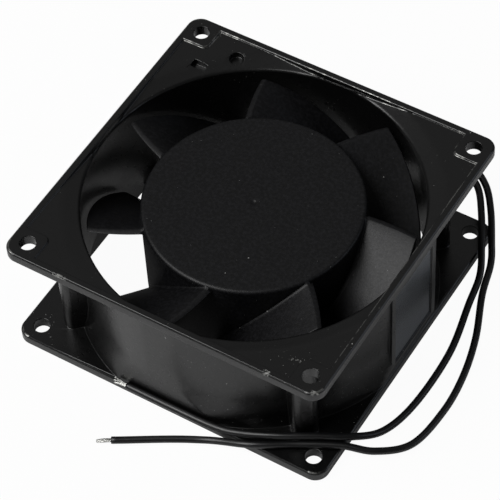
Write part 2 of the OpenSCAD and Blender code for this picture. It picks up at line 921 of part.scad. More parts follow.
module retaining_clip() {
    color(steel)
        translate([0, 0, clip_z])
            difference() {
                ring(washer_r, shaft_r - groove_d + seat, clip_t);
                translate([0, groove_d - shaft_r, -over])
                    cube([tube_bore, shaft_d - 2 * groove_d, clip_t + 2 * over]);
            }
}

module lower_washer() {
    color(nylon)
        translate([0, 0, clip_z + clip_t]) ring(washer_r, shaft_r + seat, washer_t);
}

module upper_washer() {
    color(nylon)
        translate([0, 0, tube_top + washer_gap]) ring(bearing_r, shaft_r + seat, washer_t);
}

frame();
bearing_tube();
lower_bearing();
upper_bearing();
oil_felt();
end_plug();
stator_core();
lower_insulator();
upper_insulator();
coil_1();
coil_2();
coil_3();
coil_4();
shading_ring_1();
shading_ring_2();
shading_ring_3();
shading_ring_4();
terminal_board();
terminal_pins();
lead_grommet();
lead_run_1();
lead_run_2();
lead_1();
lead_2();
lead_tip_1();
lead_tip_2();
impeller();
rotor_cup();
rotor_core();
rotor_cage();
rotor_bush();
shaft();
retaining_clip();
lower_washer();
upper_washer();
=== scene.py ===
import json
import math

import bmesh
import bpy
import numpy as np
from mathutils import Matrix, Vector


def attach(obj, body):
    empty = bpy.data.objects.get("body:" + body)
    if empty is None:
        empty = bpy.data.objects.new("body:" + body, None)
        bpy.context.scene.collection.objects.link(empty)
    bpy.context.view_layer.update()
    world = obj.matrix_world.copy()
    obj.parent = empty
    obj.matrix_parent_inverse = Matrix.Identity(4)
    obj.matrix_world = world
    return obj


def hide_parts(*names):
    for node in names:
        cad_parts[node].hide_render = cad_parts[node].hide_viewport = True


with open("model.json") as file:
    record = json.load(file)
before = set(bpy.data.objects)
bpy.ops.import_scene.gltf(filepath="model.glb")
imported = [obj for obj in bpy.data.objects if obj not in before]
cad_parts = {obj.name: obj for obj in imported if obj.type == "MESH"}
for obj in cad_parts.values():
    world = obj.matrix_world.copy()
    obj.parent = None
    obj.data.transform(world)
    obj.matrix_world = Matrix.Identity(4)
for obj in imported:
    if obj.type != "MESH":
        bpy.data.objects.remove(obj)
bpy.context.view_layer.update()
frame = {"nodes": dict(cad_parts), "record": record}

MM = 0.001

# Sizes repeated from the part's source, in millimetres and degrees
FRAME_W, FRAME_H, FLANGE_T, HOLE_INSET, HOLE_D = 92.5, 38.0, 3.2, 5.0, 4.4
RIM_W, FIELD_D, PAD_REACH = 1.95, 0.55, 4.2
THROAT_INSET, INLET_R, DISH_D, DISH_W = 2.05, 1.0, 1.1, 3.8
WALL_LEDGE, PANEL_D = 0.5, 0.4
WEB_T, WEB_GAP, WEB_R = 6.8, 6.1, 0.8
HUB_R, HUB_Z, HUB_DROP, HUB_WALL, HUB_ROOF, HUB_EDGE = 29.05, 7.0, 3.0, 1.6, 2.0, 1.0
GATE_R, GATE_DEPTH = 0.8, 0.3
BLADES, BLADE_START, BLADE_WRAP, BLADE_SWEEP, BLADE_CAMBER = 7, 22.0, 51.0, 7.0, 0.35
BLADE_DROP, BLADE_H, TIP_GAP = 0.9, 23.6, 1.3
BLADE_ROOT_T, BLADE_TIP_T, BLADE_EDGE_SHARE = 2.2, 1.5, 0.45
LEAD_D, LEAD_Z, TIP_L = 1.9, 4.8, 4.0
LEAD_1_START = (14.9, 46.0, LEAD_Z)
LEAD_2_START = (17.1, 46.0, LEAD_Z)
ROUTE_1 = (
    (15.2, 51, 5), (19, 56.5, 6), (26, 59, 7.4), (33, 57.8, 8.2), (39, 54, 8), (43.6, 48.2, 6.8),
    (47.8, 41, 4.2), (50.6, 35.4, 1.8), (53.2, 25.8, 1), (58.4, 12.5, 1), (61.4, 0, 1), (62.2, -12, 1),
    (60.4, -24.9, 1.7), (53.9, -32.4, 3.4), (45.8, -35.8, 4.4), (35.6, -41.15, 4.25), (26, -46.7, 4.2),
    (13, -50, 1), (-6.5, -61.3, 1),
)
ROUTE_2 = (
    (17.2, 50, 5), (20.5, 54, 6), (26.4, 56.2, 7.2), (32.4, 55.4, 8), (37.6, 52.2, 7.9), (42, 45.9, 6.9),
    (46.6, 37.6, 4.8), (49.9, 30.6, 2), (51.6, 21.4, 1), (54.8, 5, 1), (54.8, -13, 1),
    (52.3, -25, 2), (47.3, -32.4, 5), (40.3, -37, 6.1), (31.7, -41.85, 6.1), (22.8, -45.2, 4.9),
    (15.5, -46.6, 4.2), (2, -46.75, 3.9), (-11, -46.75, 3.9),
)

# Sizes that follow from them, as in the source
FRAME_HALF = FRAME_W / 2
HOLE_AT, HOLE_R = FRAME_HALF - HOLE_INSET, HOLE_D / 2
PAD_IN = HOLE_AT - PAD_REACH
FIELD_Z, FIELD_HALF = FRAME_H - FIELD_D, FRAME_HALF - RIM_W
THROAT_R = FRAME_HALF - THROAT_INSET
EDGE_Z, DISH_R = FIELD_Z - DISH_D, THROAT_R + INLET_R + DISH_W
PANEL_FACE = FRAME_HALF - WALL_LEDGE - PANEL_D
WEB_END = HOLE_AT * math.sqrt(2) - WEB_GAP
HUB_TOP, HUB_BORE = FRAME_H - HUB_DROP, HUB_R - HUB_WALL
BLADE_TOP = HUB_TOP - BLADE_DROP
BLADE_ROOT_R, BLADE_TIP_R = HUB_R - HUB_WALL / 2, THROAT_R - TIP_GAP


# Camera: the photograph's pinhole, fitted to the flange edges and the mounting holes

IMAGE_PX = 500
FOCAL_PX = 2577.4
SENSOR_MM = 36.0
CAMERA_AT = (0.23273, -0.34472, 0.54335)
CAMERA_RIGHT = (0.85339, 0.51974, -0.04001)
CAMERA_UP = (-0.38777, 0.68424, 0.61762)
CAMERA_BACK = (0.34838, -0.51155, 0.78546)

camera_data = bpy.data.cameras.new("photo_camera")
camera_data.sensor_width = SENSOR_MM
camera_data.lens = FOCAL_PX / IMAGE_PX * SENSOR_MM
camera = bpy.data.objects.new("photo_camera", camera_data)
camera_axes = np.column_stack([CAMERA_RIGHT, CAMERA_UP, CAMERA_BACK, CAMERA_AT])
camera.matrix_world = Matrix(camera_axes.tolist()).to_4x4()
bpy.context.scene.collection.objects.link(camera)
bpy.context.scene.camera = camera
bpy.context.scene.view_settings.view_transform = "Standard"


# Surfaces

# How close in metres two points of a new surface lie to be one
WELD = 1e-7


def lattice(rows, cols, wrap=False):
    """Quads of a rows x cols grid of points, row by row; wrap joins the last column to the first."""
    index = np.arange(rows * cols).reshape(rows, cols)
    right = np.roll(index, -1, axis=1)
    a, b = (index, right) if wrap else (index[:, :-1], index[:, 1:])
    return np.stack([a[:-1], b[:-1], b[1:], a[1:]], axis=-1).reshape(-1, 4)


def put_together(surfaces):
    """Several (points, faces) surfaces as one, with each one's indices moved past the last one's."""
    starts = np.cumsum([0] + [len(p) for p, _ in surfaces[:-1]])
    return (np.concatenate([p for p, _ in surfaces]),
            np.concatenate([f + s for (_, f), s in zip(surfaces, starts)]))


def around(sides):
    """Angles in radians of that many even steps round a circle."""
    return np.linspace(0, 2 * np.pi, sides, endpoint=False)


def ring(radius, sides):
    """Points radius (cos a, sin a) round a circle."""
    a = around(sides)
    return radius * np.column_stack([np.cos(a), np.sin(a)])


def arc(centre, radius, start, end, steps):
    """Points centre + radius (cos a, sin a) with a from start to end degrees."""
    a = np.radians(np.linspace(start, end, steps))
    return np.column_stack([centre[0] + radius * np.cos(a), centre[1] + radius * np.sin(a)])


def revolve(profile, sides):
    """Surface of revolution: each (r, z) of the profile goes to (r cos a, r sin a, z) round the axis."""
    r, z = np.asarray(profile, float).T
    a = around(sides)
    x, y, up = np.outer(r, np.cos(a)), np.outer(r, np.sin(a)), np.outer(z, np.ones(sides))
    return np.stack([x, y, up], axis=-1).reshape(-1, 3), lattice(len(r), sides, wrap=True)


def carried(line, section):
    """Section carried along a line: point ij is line_i + x_ij side_i + y_ij up_i, with side level."""
    run = np.gradient(line, axis=0)
    run /= np.linalg.norm(run, axis=1, keepdims=True)
    side = np.cross(run, (0.0, 0.0, 1.0))
    side /= np.linalg.norm(side, axis=1, keepdims=True)
    up = np.cross(side, run)
    points = line[:, None] + section[..., :1] * side[:, None] + section[..., 1:] * up[:, None]
    return points.reshape(-1, 3), lattice(len(line), section.shape[1], wrap=True)


def piece(name, points, faces, material, body, slot, nodes):
    """Welded closed mesh of points in millimetres, on its CAD body and in place of its CAD nodes."""
    mesh = bpy.data.meshes.new(name)
    mesh.from_pydata((points * MM).tolist(), [], faces.tolist())
    solid = bmesh.new()
    solid.from_mesh(mesh)
    bmesh.ops.remove_doubles(solid, verts=solid.verts, dist=WELD)
    bmesh.ops.recalc_face_normals(solid, faces=solid.faces)
    return finished(name, mesh, solid, [material], body, nodes)


def finished(name, mesh, solid, materials, body, nodes, sharp_deg=40.0):
    """Object of the worked mesh, shaded smooth up to sharp_deg, with its finishes, body and CAD nodes."""
    mesh.materials.clear()
    for material in materials:
        mesh.materials.append(material)
    solid.to_mesh(mesh)
    solid.free()
    mesh.shade_smooth()
    mesh.set_sharp_from_angle(angle=math.radians(sharp_deg))
    obj = bpy.data.objects.new(name, mesh)
    bpy.context.scene.collection.objects.link(obj)
    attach(obj, body)
    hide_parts(*nodes)
    return obj


# Materials

# Places where the enamel is scuffed, the last of them partly a painted highlight on the front corner's
# edge: low and high corners in millimetres
SCUFFS_AND_HIGHLIGHT = (
    ((30.7, -46.6, 37.2), (32.3, -45.0, 38.3)),
    ((33.9, -39.3, 37.3), (34.9, -38.5, 37.6)),
    ((35.5, -38.9, 37.3), (36.9, -38.2, 37.6)),
    ((-30.5, -46.6, 37.4), (-26.5, -45.6, 38.3)),
    # Front corner's edge: worn paint, made paler as a painted highlight of its round
    ((43.6, -46.1, 37.3), (45.6, -44.6, 38.1)),
)


def linear(code):
    """Linear RGBA of an sRGB hex colour."""
    c = np.array([int(code[k:k + 2], 16) for k in (1, 3, 5)]) / 255
    return (*np.where(c <= 0.04045, c / 12.92, ((c + 0.055) / 1.055) ** 2.4), 1.0)


def add(tree, kind, inputs=None, **settings):
    """Node of that kind with its settings. An input is a value, a hex colour, or the node or socket to link
    it to; a name means the first input of that name in use, and a node gives its first output in use."""
    node = tree.nodes.new("ShaderNode" + kind)
    for key, value in settings.items():
        setattr(node, key, value)
    for key, value in (inputs or {}).items():
        named = [socket for socket in node.inputs if socket.enabled and socket.name == key]
        socket = named[0] if named else node.inputs[key]
        if isinstance(value, str):
            value = linear(value)
        if isinstance(value, bpy.types.Node):
            value = next(output for output in value.outputs if output.enabled)
        if isinstance(value, bpy.types.NodeSocket):
            tree.links.new(value, socket)
        else:
            socket.default_value = value
    return node


def new_material(name):
    """Empty node material, its tree and its Object coordinates."""
    material = bpy.data.materials.new(name)
    material.use_nodes = True
    tree = material.node_tree
    tree.nodes.clear()
    return material, tree, add(tree, "TexCoord").outputs["Object"]


def per_mm(size):
    """Texture scale that repeats about once every size millimetres on coordinates in metres."""
    return 1 / (size * MM)


def dust(tree, place, cell_mm, radius_mm, share):
    """Mask of specks: one in each cell of a Voronoi pattern, kept in that share of the cells."""
    cells = add(tree, "TexVoronoi", {"Vector": place, "Scale": per_mm(cell_mm)})
    pick = add(tree, "SeparateColor", {"Color": cells.outputs["Color"]})
    kept = add(tree, "Math", {0: pick.outputs["Red"], 1: 1 - share}, operation="GREATER_THAN")
    size = add(tree, "Math", {0: pick.outputs["Green"], 1: radius_mm / cell_mm}, operation="MULTIPLY")
    near = add(tree, "Math", {0: cells.outputs["Distance"], 1: size}, operation="LESS_THAN")
    return add(tree, "Math", {0: kept, 1: near}, operation="MULTIPLY")


def within(tree, place, low, high):
    """Mask of an upright box, corners in millimetres: 1 where each |p - middle| is under half the side."""
    low, high = np.array(low), np.array(high)
    away = add(tree, "VectorMath", {0: place, 1: (low + high) / 2 * MM}, operation="SUBTRACT")
    away = add(tree, "VectorMath", {0: away}, operation="ABSOLUTE")
    away = add(tree, "VectorMath", {0: away, 1: (high - low) / 2 * MM}, operation="SUBTRACT")
    side = add(tree, "SeparateXYZ", {0: away})
    most = add(tree, "Math", {0: side.outputs["X"], 1: side.outputs["Y"]}, operation="MAXIMUM")
    most = add(tree, "Math", {0: most, 1: side.outputs["Z"]}, operation="MAXIMUM")
    return add(tree, "Math", {0: most, 1: 0.0}, operation="LESS_THAN")


def black_enamel_on_die_cast(name, rubbed=False):
    """Satin black enamel sprayed on an aluminium die casting: a fine cast grain under an even film, pale in
    a few scuffs, one of them partly a painted highlight on the front corner's edge, with dry dust on it and
    fine pale specks that are painted glints of the cast grain, thicker in places. Where it is rubbed, bare
    metal shows in patches."""
    material, tree, place = new_material(name)
    finish = {"Specular IOR Level": 0.6}
    # The film's tone drifts over about 9 mm
    film = add(tree, "TexNoise", {"Vector": place, "Scale": per_mm(9.0), "Detail": 3.0})
    tone = add(tree, "Mix", {"Factor": film, "A": "#060606", "B": "#090909"}, data_type="RGBA")
    if rubbed:
        # Bare patches of about 3 mm, ragged at their edges
        patch = add(tree, "TexNoise", {
            "Vector": place, "Scale": per_mm(3.0), "Detail": 5.0, "Roughness": 0.7})
        bare = add(tree, "MapRange", {"Value": patch, "From Min": 0.47, "From Max": 0.63})
        tone = add(tree, "Mix", {"Factor": bare, "A": tone, "B": "#8a8a87"}, data_type="RGBA")
        finish["Metallic"] = bare
    # Scuffs and the painted highlight are broken up into flecks of about 0.7 mm
    flecks = add(tree, "TexNoise", {"Vector": place, "Scale": per_mm(0.7), "Detail": 3.0, "Roughness": 0.7})
    flecks = add(tree, "MapRange", {"Value": flecks, "From Min": 0.46, "From Max": 0.56})
    for corners in SCUFFS_AND_HIGHLIGHT:
        scuff_and_highlight = add(tree, "Math", {0: within(tree, place, *corners), 1: flecks}, operation="MULTIPLY")
        tone = add(tree, "Mix", {"Factor": scuff_and_highlight, "A": tone, "B": "#8c8c89"}, data_type="RGBA")
    # Fine pale specks are painted glints of the cast grain and lie thicker in patches of about 15 mm;
    # the larger specks are dust
    drift = add(tree, "TexNoise", {"Vector": place, "Scale": per_mm(15.0), "Detail": 1.0})
    drift = add(tree, "MapRange", {"Value": drift, "From Min": 0.45, "From Max": 0.65})
    fine = add(tree, "Math", {0: dust(tree, place, 0.9, 0.11, 0.6), 1: drift}, operation="MULTIPLY")
    specks = add(tree, "Math", {0: dust(tree, place, 3.5, 0.19, 0.5), 1: fine}, operation="MAXIMUM")
    # Pale specks: dust, and on the fine ones painted glints
    tone = add(tree, "Mix", {"Factor": specks, "A": tone, "B": "#9a9a97"}, data_type="RGBA")
    # Cast grain of about 0.5 mm, drawn at twice its size so that it shows
    grain = add(tree, "TexNoise", {"Vector": place, "Scale": per_mm(0.9), "Detail": 4.0, "Roughness": 0.6})
    sheen = add(tree, "MapRange", {"Value": grain, "To Min": 0.23, "To Max": 0.35})
    relief = add(tree, "Bump", {"Height": grain, "Strength": 0.18, "Distance": 0.06 * MM})
    shader = add(tree, "BsdfPrincipled", {
        "Base Color": tone, "Roughness": sheen, "Normal": relief, **finish})
    add(tree, "OutputMaterial", {"Surface": shader})
    return material


def blue_black_lacquer():
    """The panel's thick film of lacquer with fine metal flake in it: dark, smooth and bluish in its gloss,
    with faint waves of its flow."""
    material, tree, place = new_material("blue_black_lacquer")
    # The film flowed out in waves of about 6 mm
    flow = add(tree, "TexNoise", {"Vector": place, "Scale": per_mm(6.0), "Detail": 2.0})
    tone = add(tree, "Mix", {"Factor": flow, "A": "#51575f", "B": "#595f67"}, data_type="RGBA")
    specks = dust(tree, place, 2.4, 0.14, 0.5)
    tone = add(tree, "Mix", {"Factor": specks, "A": tone, "B": "#9a9a97"}, data_type="RGBA")
    sheen = add(tree, "MapRange", {"Value": flow, "To Min": 0.18, "To Max": 0.28})
    relief = add(tree, "Bump", {"Height": flow, "Strength": 0.1, "Distance": 0.1 * MM})
    shader = add(tree, "BsdfPrincipled", {
        "Base Color": tone, "Roughness": sheen, "Normal": relief, "Metallic": 1.0})
    add(tree, "OutputMaterial", {"Surface": shader})
    return material


def glass_filled_nylon():
    """Black glass-filled nylon, injection moulded in a finely eroded tool: matte, evenly textured, and a
    little grey and dusty from handling."""
    material, tree, place = new_material("glass_filled_nylon")
    # The melt's tone drifts over about 14 mm
    flow = add(tree, "TexNoise", {"Vector": place, "Scale": per_mm(14.0), "Detail": 2.0})
    tone = add(tree, "Mix", {"Factor": flow, "A": "#050506", "B": "#08080a"}, data_type="RGBA")
    # Handling leaves a fine grey mottle of about 0.9 mm
    mottle = add(tree, "TexNoise", {"Vector": place, "Scale": per_mm(0.9), "Detail": 2.0, "Roughness": 0.6})
    mottle = add(tree, "MapRange", {"Value": mottle, "From Min": 0.42, "From Max": 0.68})
    tone = add(tree, "Mix", {"Factor": mottle, "A": tone, "B": "#161618"}, data_type="RGBA")
    for specks, colour in ((dust(tree, place, 1.6, 0.13, 0.3), "#5c5c5c"),
                           (dust(tree, place, 3.2, 0.17, 0.5), "#8f8f8d")):
        tone = add(tree, "Mix", {"Factor": specks, "A": tone, "B": colour}, data_type="RGBA")
    # Spark-eroded texture of about 0.1 mm, drawn at 0.6 mm so that it shows
    spark = add(tree, "TexNoise", {"Vector": place, "Scale": per_mm(0.6), "Detail": 3.0, "Roughness": 0.7})
    sheen = add(tree, "MapRange", {"Value": spark, "To Min": 0.38, "To Max": 0.56})
    relief = add(tree, "Bump", {"Height": spark, "Strength": 0.5, "Distance": 0.06 * MM})
    shader = add(tree, "BsdfPrincipled", {
        "Base Color": tone, "Roughness": sheen, "Normal": relief, "Specular IOR Level": 0.34})
    add(tree, "OutputMaterial", {"Surface": shader})
    return material


def plain_finish(name, dark, light, patch_mm, rough, metallic=0.0, relief_mm=0.0):
    """Finish of a small or inner piece: two tones in patches of a real size, with a fine relief."""
    material, tree, place = new_material(name)
    patch = add(tree, "TexNoise", {"Vector": place, "Scale": per_mm(patch_mm), "Detail": 4.0})
    tone = add(tree, "Mix", {"Factor": patch, "A": dark, "B": light}, data_type="RGBA")
    sheen = add(tree, "MapRange", {"Value": patch, "To Min": rough - 0.06, "To Max": rough + 0.06})
    finish = {"Base Color": tone, "Roughness": sheen, "Metallic": metallic}
    if relief_mm:
        finish["Normal"] = add(tree, "Bump", {"Height": patch, "Strength": 0.3, "Distance": relief_mm * MM})
    add(tree, "OutputMaterial", {"Surface": add(tree, "BsdfPrincipled", finish)})
    return material


ENAMEL = black_enamel_on_die_cast("black_enamel_on_die_cast")
RUBBED_ENAMEL = black_enamel_on_die_cast("rubbed_black_enamel", rubbed=True)
PANEL_LACQUER = blue_black_lacquer()
NYLON_BLACK = glass_filled_nylon()
PVC = plain_finish("black_pvc_insulation", "#0b0b0c", "#121213", 2.0, 0.36, relief_mm=0.02)
TINNED = plain_finish("tinned_copper_strands", "#a9a9a6", "#dcdcd8", 0.4, 0.28, metallic=1.0)

# Finishes of the CAD nodes that stay, by their slot in the record
INNER_FINISHES = {
    "black_rubber": plain_finish("moulded_black_rubber", "#141414", "#1c1c1c", 0.6, 0.7, relief_mm=0.02),
    "bearing_bronze": plain_finish("sintered_bronze", "#8a6a42", "#a5804f", 0.3, 0.5, metallic=1.0),
    "steel": plain_finish("bright_drawn_steel", "#8c8d90", "#a9aaad", 0.8, 0.3, metallic=1.0),
    "core_plates": plain_finish("stacked_electrical_steel", "#5f6064", "#7a7b80", 0.5, 0.45, metallic=1.0),
    "cage_aluminium": plain_finish("pressure_cast_aluminium", "#b2b3b6", "#c9cacc", 1.0, 0.42, metallic=1.0),
    "winding_copper": plain_finish("enamelled_copper_wire", "#8d4626", "#b5633a", 0.25, 0.3, metallic=1.0),
    "brass": plain_finish("turned_brass", "#b08d4a", "#c9a45c", 0.7, 0.3, metallic=1.0),
    "nylon": plain_finish("natural_nylon", "#d6d2c4", "#e2ded0", 1.2, 0.5, relief_mm=0.02),
    "board": plain_finish("paper_laminate", "#6b5026", "#7d6031", 0.5, 0.55),
    "felt": plain_finish("oiled_wool_felt", "#8f897a", "#a8a18f", 0.4, 0.95, relief_mm=0.1),
    "lead_insulation": PVC,
    "lead_tin": TINNED,
}


# Leads

LEAD_SIDES, STEPS_PER_SPAN = 24, 12
# Cut end of the insulation, from its edge to its middle: shares of the radius and of the bulge
CUT_END = ((1.0, 0.0), (0.92, 0.75), (0.8, 1.0), (0.0, 1.0))
CUT_BULGE = 0.12
STRANDS, STRAND_D, STRAND_SIDES, STRAND_STEPS, STRAND_TURN = 7, 0.36, 10, 24, 70.0
# Distance of the outer strands from the middle one, and how much each is cut shorter than the next
STRAND_PITCH, STRAND_UNEVEN = 1.02 * STRAND_D, 0.05
# Shares of a tip's length that run back into the insulation and that round off a strand's end
STRAND_BACK, STRAND_NOSE = 0.15, 0.04
# Start, route, and the splay and droop of the strands
LEADS = {
    1: (LEAD_1_START, ROUTE_1, -0.2, 0.4),
    2: (LEAD_2_START, ROUTE_2, 1.1, 0.0),
}


def lead_line(start, route):
    """Smooth curve through the points (Catmull-Rom, in even steps a span), kept a radius above the floor."""
    p = np.array((start, *route), float)
    a, b, c, d = (p[np.clip(np.arange(len(p) - 1) + k, 0, len(p) - 1)][:, None] for k in (-1, 0, 1, 2))
    t = np.linspace(0, 1, STEPS_PER_SPAN, endpoint=False)[None, :, None]
    curve = b + ((c - a) * t + (2 * a - 5 * b + 4 * c - d) * t**2 + (3 * b - a - 3 * c + d) * t**3) / 2
    line = np.concatenate([curve.reshape(-1, 3), p[-1:]])
    line[:, 2] = np.maximum(line[:, 2], LEAD_D / 2)
    return line


def lead(name, line, node):
    """Round wire along its line, with softly cut ends: the last ring is drawn in to shares of its radius
    while it moves out by shares of the bulge."""
    points, faces = carried(line, np.repeat(ring(LEAD_D / 2, LEAD_SIDES)[None], len(line), axis=0))
    ends = []
    for at, before in ((0, 1), (-1, -2)):
        run = line[at] - line[before]
        run = run / np.linalg.norm(run)
        edge = points.reshape(len(line), -1, 3)[at]
        cap = np.concatenate([line[at] + (edge - line[at]) * radius + run * bulge * CUT_BULGE
                              for radius, bulge in CUT_END])
        ends.append((cap, lattice(len(CUT_END), LEAD_SIDES, wrap=True)))
    points, faces = put_together([(points, faces), *ends])
    wire = piece(name, points, faces, PVC, "housing", "lead_insulation", [node])


def strand_tip(name, line, node, splay, droop):
    """Tinned end of seven strands, six wound round one: strand j runs at distance pitch (1 + splay w^2) from
    the middle, at the angle 60 j + turn w, and sinks by droop w^2, with w from 0 at the insulation to 1 at
    its tip. A strand's radius falls to nothing in a quarter circle at both ends."""
    run = line[-1] - line[-2]
    run = run / np.linalg.norm(run)
    side = np.cross(run, (0.0, 0.0, 1.0))
    up = np.cross(side, run)
    w = np.linspace(-STRAND_BACK, 1, STRAND_STEPS)[:, None]
    free = np.clip(w, 0, 1)
    from_end = (1 + STRAND_BACK) / 2 - np.abs(w - (1 - STRAND_BACK) / 2)
    radius = np.sqrt(np.clip(1 - np.clip(1 - from_end / STRAND_NOSE, 0, 1) ** 2, 0, 1))
    section = radius[:, None] * ring(STRAND_D / 2, STRAND_SIDES)[None]
    surfaces = []
    for strand in range(STRANDS):
        turn = np.radians(360 / (STRANDS - 1) * strand + STRAND_TURN * w)
        in_middle = strand == STRANDS - 1
        out = (0 if in_middle else STRAND_PITCH) * (1 + splay * free**2)
        length = TIP_L * (1 - STRAND_UNEVEN * (strand % 3))
        path = (line[-1] + length * w * run + out * (np.cos(turn) * side + np.sin(turn) * up)
                - (0, 0, droop) * free**2)
        surfaces.append(carried(path, section))
    return piece(name, *put_together(surfaces), TINNED, "housing", "lead_tin", [node])


for number, (start, route, splay, droop) in LEADS.items():
    middle_line = lead_line(start, route)
    strands = strand_tip(f"lead_{number}_strands", middle_line, f"lead_tip_{number}", splay, droop)
    lead(f"lead_{number}_wire", middle_line, f"lead_{number}")


# Impeller

# Gate dimple: shares of its radius at its bottom, the top of its side and its brim, and that top's depth
GATE_FLAT, GATE_SIDE, GATE_BRIM, GATE_SIDE_DEPTH = 0.5, 0.9, 1.1, 0.05
# Rounding of the hub's lower rim, and bevel at its bore
HUB_LIP, BORE_BEVEL = 0.3, 0.2
# Steps round the hub, and rings that split its face and its wall into even faces
HUB_SIDES, FACE_RINGS, WALL_RINGS = 192, (2, 6, 12, 18, 24, 27), (30, 24, 18, 12)
# Length of a blade along its fall
BLADE_CHORD = 35.0
# Shares of the chord that round off its leading and trailing edge, and of the span that round off its tip
BLADE_NOSE, BLADE_TAIL, BLADE_END = 0.004, 0.014, 0.022
# Land along the leading edge: its slant in half thicknesses, and the share of the chord where it ends
LAND_SLANT, LAND_END = 1.15, 0.08
# Fillet at the root, and the share of it that each side of the blade takes
FILLET, FILLET_SHARE = 0.9, 0.6


def hub_surface():
    """Hub turned from its profile: gate dimple, flat face, round edge, wall, lower rim, bore and roof."""
    dimple, roof = HUB_TOP - GATE_DEPTH, HUB_TOP - HUB_ROOF
    profile = np.concatenate([
        [(0, dimple), (GATE_R * GATE_FLAT, dimple), (GATE_R * GATE_SIDE, HUB_TOP - GATE_SIDE_DEPTH)],
        [(r, HUB_TOP) for r in (GATE_R * GATE_BRIM, *FACE_RINGS)],
        arc((HUB_R - HUB_EDGE, HUB_TOP - HUB_EDGE), HUB_EDGE, 90, 0, 9),
        [(HUB_R, z) for z in (*WALL_RINGS, HUB_Z + HUB_LIP)],
        arc((HUB_R - HUB_LIP, HUB_Z + HUB_LIP), HUB_LIP, 0, -90, 5),
        [(HUB_BORE + BORE_BEVEL, HUB_Z), (HUB_BORE, HUB_Z + BORE_BEVEL)],
        [(HUB_BORE, roof), (0, roof)],
    ])
    return revolve(profile, HUB_SIDES)


def blade_surface(number):
    """Blade lofted between two sheets, middle(u, t) +- half(u, t) normal, u from root to tip and t from
    leading to trailing edge: the angle falls by sweep u (1 - t) + wrap t, and the height by
    H ((1 - camber) t + camber t^2). The half thickness thins towards the tip, rounds off at all three free
    edges and flares at the root; the sheets slide apart along t at the leading edge, which leaves it cut off
    in a narrow land that looks up."""
    # The grid's lines close up by the root, the tip and both edges
    by_root, along, by_tip = np.linspace(0, 0.12, 9), np.linspace(0.16, 0.94, 22), np.linspace(0, 1, 9)
    u = np.concatenate([by_root, along, 1 - 0.05 * (1 - by_tip) ** 2])
    t = (1 - np.cos(np.pi * np.linspace(0, 1, 81))) / 2

    def radius(u):
        return BLADE_ROOT_R + u * (BLADE_TIP_R - BLADE_ROOT_R)

    def middle(u, t):
        r = radius(u)
        a = np.radians(BLADE_START + 360 * number / BLADES - BLADE_SWEEP * u * (1 - t) - BLADE_WRAP * t)
        z = BLADE_TOP - BLADE_H * ((1 - BLADE_CAMBER) * t + BLADE_CAMBER * t**2)
        return np.stack([r * np.cos(a), r * np.sin(a), z + 0 * r], axis=-1)

    u, t = np.meshgrid(u, t, indexing="ij")
    step = 1e-3
    normal = np.cross(middle(u + step, t) - middle(u - step, t), middle(u, t + step) - middle(u, t - step))
    normal /= np.linalg.norm(normal, axis=-1, keepdims=True)
    full = (BLADE_ROOT_T + u * (BLADE_TIP_T - BLADE_ROOT_T)) / 2
    half = full * (BLADE_EDGE_SHARE + (1 - BLADE_EDGE_SHARE) * np.sqrt(np.clip(np.sin(np.pi * t), 0, 1)))
    for away in (t / BLADE_NOSE, (1 - t) / BLADE_TAIL, (1 - u) / BLADE_END):
        half = half * np.sqrt(np.clip(1 - (1 - np.clip(away, 0, 1)) ** 2, 0, 1))
    slide = LAND_SLANT * half / BLADE_CHORD * np.clip(1 - t / LAND_END, 0, 1)
    out = np.clip((radius(u) - HUB_R) / FILLET, 0, 1)
    half = half + FILLET * (1 - np.sqrt(1 - (1 - out) ** 2)) * FILLET_SHARE
    lower = middle(u, t - slide) + half[..., None] * normal
    upper = middle(u, t + slide) - half[..., None] * normal
    loop = np.concatenate([upper, lower[:, ::-1]], axis=1)
    skin = loop.reshape(-1, 3), lattice(*loop.shape[:2], wrap=True)
    root = np.concatenate([upper[0], lower[0]]), lattice(2, t.shape[1])
    return put_together([skin, root])


piece("impeller_moulding", *put_together([hub_surface(), *map(blade_surface, range(BLADES))]),
      NYLON_BLACK, "rotor", "moulded_impeller", ["impeller"])


# Frame

# How close in millimetres an edge or face lies to a line or level to be on it, exactly or about
NEAR, ABOUT = 0.03, 0.1
# How close in metres two points of the CAD mesh lie to be one, and a point lies to a cut to be on it
CAD_WELD, CUT_NEAR = 2e-6, 1e-8
# Angle in degrees from which an edge counts as hard
HARD_DEG = 35
# Rounds in millimetres: of the dish into the field, the rim's wall, the flange outlines and the other edges
DISH_BLEND, RIM_ROUND, FLANGE_ROUND, FINE_ROUND = 0.8, 0.24, 0.3, 0.16
SOFT_SEGMENTS, FINE_SEGMENTS = 3, 2
# How far from the rim's wall its round reaches
ROUND_REACH = 0.3
# The photograph shows the corner webs' ends with rounder edges than the solids have
WEB_ROUND = 2.2
# Cuts that split a web's end into upright strips, by how far they lie aside of its middle
WEB_CUTS = np.linspace(-2.4, 2.4, 9)
# Order of the casting's finishes, and the sign for a round that takes the finish beside it
COVERED, RUBBED, PANEL, AS_BESIDE = 0, 1, 2, -1


def middle_of(edge):
    """Middle of an edge in millimetres, mirrored into the quarter where x and y are positive."""
    x, y, z = (edge.verts[0].co + edge.verts[1].co) / 2 / MM
    return abs(x), abs(y), z


def by_rim_wall(edge):
    """True of an edge of the rim's inner wall or of a pad's side, above the intake edge."""
    x, y, z = middle_of(edge)
    at_rim = abs(max(x, y) - FIELD_HALF) < NEAR and z > EDGE_Z - ABOUT
    at_pad = PAD_IN - NEAR < min(x, y) and max(x, y) < FIELD_HALF + NEAR and z > FIELD_Z - ABOUT
    return at_rim or at_pad and math.hypot(x - HOLE_AT, y - HOLE_AT) > HOLE_R + NEAR


